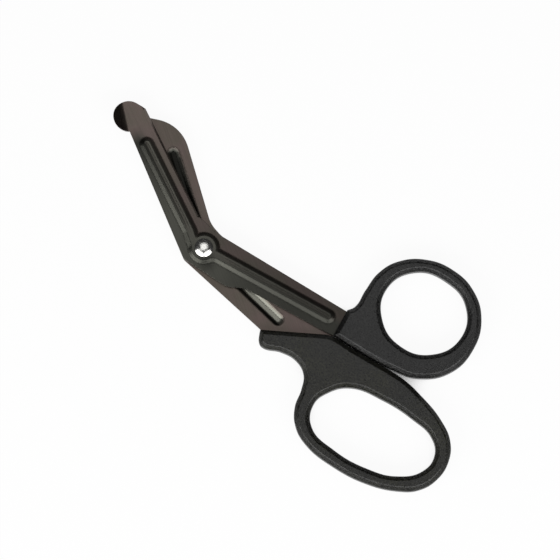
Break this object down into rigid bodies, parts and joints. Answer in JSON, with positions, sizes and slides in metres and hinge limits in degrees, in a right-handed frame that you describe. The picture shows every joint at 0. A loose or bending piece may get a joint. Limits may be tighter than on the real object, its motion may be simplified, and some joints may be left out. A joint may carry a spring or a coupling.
{
  "type": "trauma shears",
  "caption": "Angled bandage scissors with pressed black steel blades, a blunt bent foot at the tip, a rivet pivot and moulded finger loops.",
  "frame": {"origin": "centre of the flat face of the rivet's tail, on the pivot axis, in the plane that the shears lie on", "axes": "+X from the pivot towards the finger loops, +Z along the pivot axis from the rear blade to the front blade"},
  "size_m": [0.1828, 0.0882, 0.0092],
  "materials": {
    "blade_coating": "thin black non-stick coating on steel, satin",
    "handle_plastic": "fine spark texture, black",
    "rivet_plating": "bright nickel plate"
  },
  "bodies": {
    "rear_half": {"rear_blade": "blade_coating", "finger_handle": "handle_plastic", "pivot_rivet": "rivet_plating"},
    "front_half": {"front_blade": "blade_coating", "thumb_handle": "handle_plastic"}
  },
  "joints": [
    {"name": "blade_pivot", "type": "hinge", "parent": "rear_half", "child": "front_half", "pos_m": [0, 0, 0.0045], "axis": [0, 0, 1], "range_deg": [0, 75]}
  ]
}
